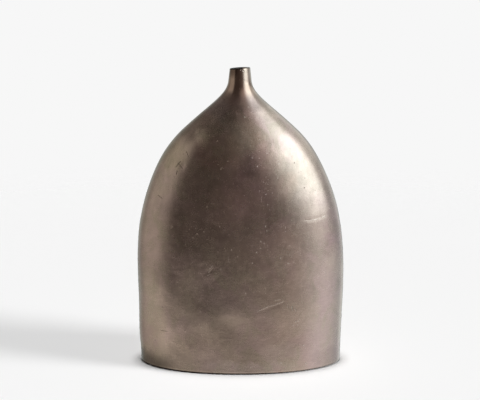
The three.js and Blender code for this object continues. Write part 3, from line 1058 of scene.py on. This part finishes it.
def patina_material(finish, sizes):
    """Satin bronze patina on cast aluminium.

    Clouds of mauve and olive lie over the brown, and each side has its own stains and patches of painted
    highlight and painted shade. Finer noise shades it: hairlines and smears run upright from rubbing down,
    and strokes run across lower down. Pits have dark floors and bright rims, and the neck is handled
    smoother. The mouth's rim is painted near black as shade, but for the right, where the highlight runs to
    the top, and painted shade lies along the foot edge, broken up by noise and lighter to the right.
    """
    shader = Shader(bpy.data.materials.new("bronze patina"))
    place = shader.place()
    x, y, z = shader.parts(place)
    foot = SHELL_LOW.z / MILLIMETRE
    top = sizes.height / MILLIMETRE
    is_front = y.maths("LESS_THAN", 0)
    mark_x = x * ((1 + BACK_SCALE_X) * is_front - BACK_SCALE_X)
    mark_z = z * (BACK_SCALE_Z + (1 - BACK_SCALE_Z) * is_front) + BACK_RISE * (1 - is_front)
    facing = y.maths("ABSOLUTE").above(*MARKS_FROM_SEAM) * (BACK_STRENGTH + (1 - BACK_STRENGTH) * is_front)

    drift = shader.noise(place, size=55, detail=3, roughness=0.55, distortion=0.7)
    upright = shader.stretched(place, (1, 1, 0.8))
    clouds = shader.noise(upright, size=24, detail=4, roughness=0.6, distortion=0.5)
    spots = shader.noise(place, size=7, detail=4, roughness=0.62)
    grain = shader.noise(place, size=1.5, detail=3, roughness=0.6)
    hairlines = shader.noise(shader.stretched(place, (1.6, 1.6, 0.06)), size=1.6)
    smears = shader.noise(shader.stretched(place, (0.24, 0.24, 0.05)), size=1, detail=3)
    strokes = shader.noise(shader.stretched(place, (0.14, 0.14, 0.8)), size=1, detail=3, roughness=0.6)
    handled = z.above(*counted_from(top, HANDLED_FROM))

    colour = shader.blend(drift.above(0.4, 0.64), finish.bronze, finish.mauve)
    colour = shader.blend(clouds.above(0.46, 0.68), colour, finish.olive)
    shade = 0.82 + 0.22 * spots + 0.04 * grain + 0.11 * hairlines
    shade = shade + 0.3 * (smears - 0.5) * z.above(*SMEARS_FROM)
    shade = shade + 0.3 * (strokes - 0.5) * z.below(*STROKES_UP_TO)
    thick = 0.16 * clouds.above(0.3, 0.7) * (0.3 + 0.7 * z.above(*THICKER_FROM))
    colour = shader.shaded(colour, shade - thick + 0.05)
    colour = shader.blend(handled, colour, finish.handled, "MULTIPLY")
    patch_x = mark_x + PATCH_WANDER * (drift - 0.5) * (1 - handled)
    patch_z = mark_z + PATCH_WANDER * (clouds - 0.5) * (1 - handled)
    # Stains, and patches of painted highlight and painted shade, multiply the colour
    for stain in STAINS_AND_PAINTED_LIGHT:
        colour = shader.blend(within(patch_x, patch_z, stain) * facing, colour, stain.tint, "MULTIPLY")

    crowding = shader.noise(place, size=36, detail=1).above(0.5, 0.62)
    distance, chance = shader.cells(place, size=6.5)
    chosen = chance.above(0.72, 0.74) * crowding
    nearest = to_nearest_pit(shader, mark_x, mark_z)
    pit = distance.below(0.03, 0.1) * chosen
    pit = pit.maths("MAXIMUM", nearest.below(0.2, 0.9) * facing)
    rim = distance.above(0.07, 0.11) * distance.below(0.12, 0.17) * chosen
    rim = rim.maths("MAXIMUM", nearest.above(0.6, 1) * nearest.below(1.2, 1.8) * facing)
    fine_distance, fine_chance = shader.cells(place, size=2.6)
    rough = sum(within(mark_x, mark_z, patch) for patch in ROUGH_PATCHES).between(0, 1) * facing
    speck = fine_distance.below(0.06, 0.2) * (fine_chance + 0.5 * rough).above(0.86, 0.88)

    # Rubbed scratches, with a painted highlight along the fold
    bright = combined("MAXIMUM", [near_scratch(x, z, scratch) for scratch in SCRATCHES_AND_FOLD_HIGHLIGHT])
    bright = bright * is_front * grain.above(0.35, 0.6)
    crack_and_fold_shade = combined("MAXIMUM", [near_scratch(x, z, scratch) for scratch in CRACKS_AND_FOLD_SHADE])
    crack_and_fold_shade = crack_and_fold_shade * is_front * spots.above(0.3, 0.5)
    # Painted shade on the mouth's rim, taken off on the right where the highlight reaches the top, and half
    # as dark beyond
    level = z - x * math.tan(sizes.mouth_tilt)
    rim_unshaded = x.above(*RIM_UNSHADED_FROM) * (0.5 + 0.5 * x.below(*RIM_UNSHADED_UP_TO))
    cut = level.above(*counted_from(top, RIM_SHADE_FROM)) * (1 - rim_unshaded)
    # Painted shade: a dark band just above the foot edge, broken up by noise
    broken_foot_shade = z.below(*counted_from(foot, BROKEN_FOOT_SHADE_UP_TO)) * spots.above(0.2, 0.5)
    # Painted shade: a thin dark band along the foot edge, lighter towards the right, where the light comes
    # from
    foot_edge_shade = z.below(*counted_from(foot, FOOT_EDGE_SHADE_UP_TO)) * (1 - 0.6 * x.above(*FOOT_EDGE_SHADE_LIGHTER_FROM))

    # Oxide in pits, specks and cracks, with painted shade in the fold and along the foot edge
    dark = (pit * 0.8 + speck * 0.35 + crack_and_fold_shade * 0.6 + broken_foot_shade * 0.3 + foot_edge_shade * 0.7).between(0, 1)
    colour = shader.blend(dark, colour, finish.oxide_and_painted_shade)
    light = (rim * 0.1 + bright * 0.42).between(0, 1)
    colour = shader.blend(light, colour, finish.worn_and_painted_highlight)
    # Painted shade on the mouth's rim
    colour = shader.blend(cut, colour, finish.cut)

    roughness = finish.roughness + 0.08 * (clouds - 0.5) + 0.14 * (spots - 0.5) + 0.06 * (grain - 0.5)
    roughness = roughness + 0.2 * pit + 0.2 * crack_and_fold_shade + 0.1 * speck + 0.3 * cut - 0.12 * handled
    height = 0.42 * spots + 0.05 * grain + 0.06 * hairlines
    height = height + 0.15 * strokes - 1.1 * pit + 0.2 * rim - 0.6 * speck - 0.7 * crack_and_fold_shade + 0.3 * bright
    return shader.surface(colour, roughness, shader.bump(height, 0.00018), {"Metallic": 1})


def raw_casting_material(finish, sizes):
    """The inside as it left the mould: dull, grainy and stained, with soft lumps, and painted shade in the
    neck.
    """
    shader = Shader(bpy.data.materials.new("raw casting"))
    place = shader.place()
    lumps = shader.noise(place, size=9, detail=3)
    sand = shader.noise(place, size=0.9, detail=4, roughness=0.7)
    stain = shader.noise(place, size=32, detail=3, distortion=0.8).above(0.4, 0.65)
    # Painted shade: the inside darkens towards the mouth
    soot = shader.parts(place)[2].above(*counted_from(sizes.height / MILLIMETRE, NECK_SHADE_FROM))
    colour = shader.blend(stain.maths("MAXIMUM", soot), finish.raw, finish.oxide_and_painted_shade)
    colour = shader.shaded(colour, 0.6 + 0.5 * sand + 0.2 * lumps)
    normal = shader.bump(0.7 * lumps + 0.3 * sand, 0.0006)
    return shader.surface(colour, 0.62 + 0.2 * sand, normal, {"Metallic": 0.8})


def filler_material(finish):
    """Weld filler ground flush and patinated: file marks run across the seam over a smoother brown."""
    shader = Shader(bpy.data.materials.new("patinated filler"))
    place = shader.place()
    clouds = shader.noise(place, size=20, detail=4, roughness=0.6, distortion=0.5)
    spots = shader.noise(place, size=6, detail=3)
    file_marks = shader.noise(shader.stretched(place, (0.1, 0.1, 2.4)), size=1, detail=2)
    colour = shader.blend(clouds.above(0.42, 0.62), finish.bronze, finish.olive)
    colour = shader.shaded(colour, 0.74 + 0.26 * spots + 0.2 * file_marks)
    roughness = finish.roughness + 0.1 * (spots - 0.5) + 0.16 * (file_marks - 0.5)
    normal = shader.bump(0.4 * spots + 0.5 * file_marks, 0.00012)
    return shader.surface(colour, roughness, normal, {"Metallic": 1})


def sheet_material(finish):
    """Rolled base sheet: fine lines along the mill's direction, thin patina and handling smudges."""
    shader = Shader(bpy.data.materials.new("rolled sheet"))
    place = shader.place()
    rolled = shader.noise(shader.stretched(place, (0.02, 2.2, 1)), size=1, detail=3)
    smudge = shader.noise(place, size=28, detail=4, distortion=1.1)
    grain = shader.noise(place, size=2.4, detail=4)
    colour = shader.blend(smudge.above(0.45, 0.62), finish.sheet, finish.bronze)
    colour = shader.shaded(colour, 0.7 + 0.3 * rolled + 0.2 * grain)
    roughness = 0.42 + 0.16 * smudge + 0.12 * rolled
    normal = shader.bump(0.6 * rolled + 0.3 * grain, 0.00008)
    return shader.surface(colour, roughness, normal, {"Metallic": 1})


def bead_material(finish):
    """Brushed filler bead: bright on its crests, with soot left between the ripples."""
    shader = Shader(bpy.data.materials.new("brushed bead"))
    place = shader.place()
    brushed = shader.noise(place, size=0.7, detail=3, roughness=0.65)
    soot = shader.noise(place, size=6, detail=4, distortion=0.6)
    colour = shader.blend(soot.above(0.5, 0.68) * 0.8, finish.bead, finish.oxide_and_painted_shade)
    colour = shader.shaded(colour, 0.75 + 0.4 * brushed)
    return shader.surface(colour, 0.3 + 0.3 * brushed, shader.bump(brushed, 0.0001), {"Metallic": 1})


def felt_material(finish):
    """Pressed wool felt: matted fibres in two directions, lint, and a sheen at the edges of the view."""
    shader = Shader(bpy.data.materials.new("pressed felt"))
    place = shader.place()
    first = shader.noise(shader.stretched(place, (3.2, 0.7, 1.4)), size=1, detail=4, distortion=1.5)
    second = shader.noise(shader.stretched(place, (0.7, 3.2, 1.4)), size=1, detail=4, distortion=1.5)
    fibres = first.maths("MAXIMUM", second)
    lint = shader.noise(place, size=1.1, detail=2).above(0.64, 0.7)
    colour = shader.shaded(finish.felt, 0.5 + 1.3 * fibres)
    colour = shader.blend(lint * 0.35, colour, finish.raw)
    sheen = {"Sheen Weight": 0.4, "Sheen Roughness": 0.5}
    return shader.surface(colour, 0.92 + 0.08 * fibres, shader.bump(fibres, 0.0004), sheen)


@dataclass
class Glow:
    """A soft-edged patch of the studio that the vase mirrors, in degrees round from the camera and up."""

    colour: tuple
    left: tuple
    right: tuple
    bottom: tuple
    top: tuple


# Each edge is a pair: where the light starts to change and where it has changed.
# Azimuth 0 is behind the camera, and the vase's right is positive.
LOWEST = (-91, -90)
HIGHEST = (91, 92)
LEFTMOST = (-182, -181)
RIGHTMOST = (181, 182)
STUDIO = {
    "key": Glow((2.25, 2.88, 3.22), left=(23, 62), right=(76, 102), bottom=(0, 11), top=(47, 58)),
    "right low": Glow((0.55, 0.67, 0.76), left=(33, 62), right=(135, 169), bottom=LOWEST, top=(-11, 26)),
    "right high": Glow((0.84, 0.99, 1.05), left=(74, 89), right=(149, 173), bottom=(7, 22), top=(47, 69)),
    "left": Glow((0.47, 0.49, 0.46), left=(-150, -90), right=(-66, -48), bottom=LOWEST, top=(28, 50)),
    "front right": Glow((0.305, 0.275, 0.275), left=(-17, 68), right=(72, 115), bottom=LOWEST, top=(63, 92)),
    "front high": Glow((0.36, 0.35, 0.34), left=(-12, 28), right=(35, 65), bottom=(18, 36), top=(46, 54)),
    "front low": Glow((0.57, 0.6, 0.59), left=(-76, -58), right=(40, 66), bottom=LOWEST, top=(-22, -18)),
    "back left": Glow((0.36, 0.42, 0.41), left=LEFTMOST, right=(-140, -115), bottom=LOWEST, top=(5, 40)),
    "back right": Glow((0.36, 0.42, 0.41), left=(115, 140), right=RIGHTMOST, bottom=LOWEST, top=(5, 40)),
    "overhead": Glow((1.9, 1.75, 1.7), left=LEFTMOST, right=RIGHTMOST, bottom=(64, 84), top=HIGHEST),
}
AMBIENT_GLOW = (0.088, 0.078, 0.073)

# The floor's fade, in shares of its radius, and the foot edge, in shares of its oval
FLOOR_FADE = (0.45, 0.95)
FOOT_EDGE = (0.99, 1)

# What the lens is measured against, in millimetres
SENSOR_WIDTH = 36


def build_world(stage):
    """The studio: plain and pale to the camera, and patches of soft light to what mirrors it.

    A direction's azimuth and elevation, in degrees, come from its arctangent and arcsine. Each patch is the
    product of four smooth steps. Matt surfaces get nothing from it, because the lamps light them.
    """
    world = bpy.data.worlds.new("studio")
    world.cycles_visibility.diffuse = False
    bpy.context.scene.world = world
    shader = Shader(world)
    direction = shader.node("ShaderNodeTexCoord").outputs["Generated"]
    x, y, z = shader.parts(direction)
    to_degrees = 180 / math.pi
    azimuth = x.maths("ARCTAN2", 0 - y) * to_degrees
    elevation = z.maths("ARCSINE") * to_degrees
    light = AMBIENT_GLOW
    for glow in STUDIO.values():
        share = azimuth.above(*glow.left) * azimuth.below(*glow.right)
        share = share * elevation.above(*glow.bottom) * elevation.below(*glow.top)
        light = shader.blend(share, light, glow.colour, "ADD")
    mirrored = shader.node("ShaderNodeBackground", sockets={"Color": light})
    seen = shader.node("ShaderNodeBackground", sockets={"Color": opaque(stage.backdrop)})
    is_camera = shader.node("ShaderNodeLightPath").outputs["Is Camera Ray"]
    surfaces = {0: is_camera, 1: mirrored.outputs[0], 2: seen.outputs[0]}
    both = shader.node("ShaderNodeMixShader", sockets=surfaces)
    shader.node("ShaderNodeOutputWorld", sockets={"Surface": both.outputs[0]})


def build_floor(stage, sizes):
    """A pale disc that fades out before its rim and lets the underside be seen from below.

    Mirrors pass through it outside the foot, because the world already holds what lies under the horizon.
    Under the foot, inside the oval (x/w)^2 + (y/d)^2 = 1, it stops all light, which keeps the gap dark. A
    path that has already come up through the floor passes through it everywhere.
    """
    turn = np.linspace(0, 2 * math.pi, FLOOR_COLUMNS, endpoint=False)
    reach = stage.floor_reach
    points = np.stack([reach * np.cos(turn), reach * np.sin(turn), 0 * turn], axis=-1)
    mesh = bpy.data.meshes.new("floor")
    mesh.from_pydata(points.tolist(), [], [tuple(range(len(points)))])
    floor = add_object("floor", mesh)
    material = bpy.data.materials.new("pale floor")
    mesh.materials.append(material)
    shader = Shader(material)
    x, y, _ = shader.parts(shader.place())
    distance = (x.squared() + y.squared()).root()
    faded = distance.above(*(share * reach / MILLIMETRE for share in FLOOR_FADE))
    half_width = sizes.foot_width / 2 / MILLIMETRE
    half_depth = sizes.foot_depth / 2 / MILLIMETRE
    outside = ((x / half_width).squared() + (y / half_depth).squared()).above(*FOOT_EDGE)
    path = shader.node("ShaderNodeLightPath")
    mirrored = Value(shader, path.outputs["Is Glossy Ray"]) + Value(shader, path.outputs["Is Shadow Ray"])
    underneath = Value(shader, shader.node("ShaderNodeNewGeometry").outputs["Backfacing"])
    from_below = underneath + Value(shader, path.outputs["Transparent Depth"])
    gone = (faded + mirrored * outside + from_below).between(0, 1)
    surface = shader.node("ShaderNodeBsdfDiffuse", sockets={"Color": opaque(stage.floor)})
    clear = shader.node("ShaderNodeBsdfTransparent")
    both = shader.node("ShaderNodeMixShader", sockets={0: gone, 1: surface.outputs[0], 2: clear.outputs[0]})
    shader.node("ShaderNodeOutputMaterial", sockets={"Surface": both.outputs[0]})


def build_lamp(name, energy, spread, height, azimuth):
    """A soft light on matt surfaces, which mirrors don't show."""
    lamp = bpy.data.lights.new(name, "SUN")
    lamp.energy = energy
    lamp.angle = spread
    holder = add_object(name, lamp)
    holder.rotation_euler = (QUARTER_TURN - height, 0, azimuth)
    holder.visible_glossy = False


def build_lamps(stage):
    """Light from above, light from the right that throws a faint shadow, and a little from underneath."""
    build_lamp("side light", stage.side_strength, stage.side_spread, stage.side_height, stage.side_azimuth)
    build_lamp("top light", stage.top_strength, stage.top_spread, QUARTER_TURN, 0)
    build_lamp("low light", stage.low_strength, QUARTER_TURN, -QUARTER_TURN, 0)


def build_camera(stage):
    """The camera at the photograph's viewing angle."""
    lens = bpy.data.cameras.new("camera")
    lens.lens = stage.lens
    lens.sensor_width = SENSOR_WIDTH
    camera = add_object("camera", lens)
    camera.location = (0, -stage.camera_distance, stage.camera_height)
    camera.rotation_euler = (QUARTER_TURN - stage.camera_pitch, 0, 0)
    bpy.context.scene.camera = camera


class VASE_OT_stage(bpy.types.Operator):
    """Makes the pale floor, the soft studio light and the camera"""

    bl_idname = "vase.stage"
    bl_label = "Stage"

    def execute(self, context):
        stage = context.scene.vase_stage
        build_world(stage)
        build_floor(stage, context.scene.vase_sizes)
        build_lamps(stage)
        build_camera(stage)
        context.scene.view_settings.view_transform = "Standard"
        return {"FINISHED"}


class VASE_OT_castings(bpy.types.Operator):
    """Makes the front and back castings with their patina outside and raw metal inside"""

    bl_idname = "vase.castings"
    bl_label = "Castings"

    def execute(self, context):
        sizes = context.scene.vase_sizes
        finish = context.scene.vase_finish
        materials = [patina_material(finish, sizes), raw_casting_material(finish, sizes)]
        for name, half in (("front_shell", 1), ("back_shell", -1)):
            mount(make_casting(sizes, f"{name}_finished", half, materials), "bronzed_casting", name)
        return {"FINISHED"}


class VASE_OT_seam_welds(bpy.types.Operator):
    """Makes the ground welds along both sides"""

    bl_idname = "vase.seam_welds"
    bl_label = "Seam welds"

    def execute(self, context):
        sizes = context.scene.vase_sizes
        materials = [filler_material(context.scene.vase_finish)]
        for name, side in (("seam_weld_left", -1), ("seam_weld_right", 1)):
            mount(make_seam_weld(sizes, f"{name}_finished", side, materials), "seam_filler", name)
        return {"FINISHED"}


class VASE_OT_base(bpy.types.Operator):
    """Finishes the base plate and makes the rippled bead round it"""

    bl_idname = "vase.base"
    bl_label = "Base plate and weld"

    def execute(self, context):
        sizes = context.scene.vase_sizes
        finish = context.scene.vase_finish
        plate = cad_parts["base_plate"].data
        plate.materials.clear()
        plate.materials.append(sheet_material(finish))
        bead = make_base_bead(sizes, "base_weld_finished", [bead_material(finish)])
        mount(bead, "base_filler", "base_weld")
        return {"FINISHED"}


class VASE_OT_felt_pads(bpy.types.Operator):
    """Makes the four felt pads under the base plate"""

    bl_idname = "vase.felt_pads"
    bl_label = "Felt pads"

    def execute(self, context):
        materials = [felt_material(context.scene.vase_finish)]
        nodes = sorted(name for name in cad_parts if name.startswith("felt_pad_"))
        for seed, name in enumerate(nodes):
            mount(make_felt_pad(f"{name}_finished", name, seed, materials), "felt", name)
        return {"FINISHED"}


OPERATORS = (VASE_OT_stage, VASE_OT_castings, VASE_OT_seam_welds, VASE_OT_base, VASE_OT_felt_pads)


class VASE_PT_build(bpy.types.Panel):
    """Lists what builds the vase, and the settings that it builds from."""

    bl_idname = "VASE_PT_build"
    bl_label = "Aluminium vase"
    bl_space_type = "VIEW_3D"
    bl_region_type = "UI"
    bl_category = "Vase"

    def draw(self, context):
        for operator in OPERATORS:
            self.layout.operator(operator.bl_idname)
        for group in SETTINGS:
            settings = getattr(context.scene, group)
            box = self.layout.box()
            for name in settings.__annotations__:
                box.prop(settings, name)


SETTINGS = {"vase_sizes": VaseSizes, "vase_finish": VaseFinish, "vase_stage": VaseStage}
CLASSES = (*SETTINGS.values(), *OPERATORS, VASE_PT_build)


def register():
    """Makes the classes and the scene's settings known to Blender."""
    for made in CLASSES:
        bpy.utils.register_class(made)
    for name, group in SETTINGS.items():
        setattr(bpy.types.Scene, name, bpy.props.PointerProperty(type=group))


def unregister():
    """Takes them away again."""
    for name in SETTINGS:
        delattr(bpy.types.Scene, name)
    for made in reversed(CLASSES):
        bpy.utils.unregister_class(made)


def main():
    """Builds the stage and every piece in order."""
    register()
    bpy.ops.vase.stage()
    bpy.ops.vase.castings()
    bpy.ops.vase.seam_welds()
    bpy.ops.vase.base()
    bpy.ops.vase.felt_pads()


if __name__ == "__main__":
    main()
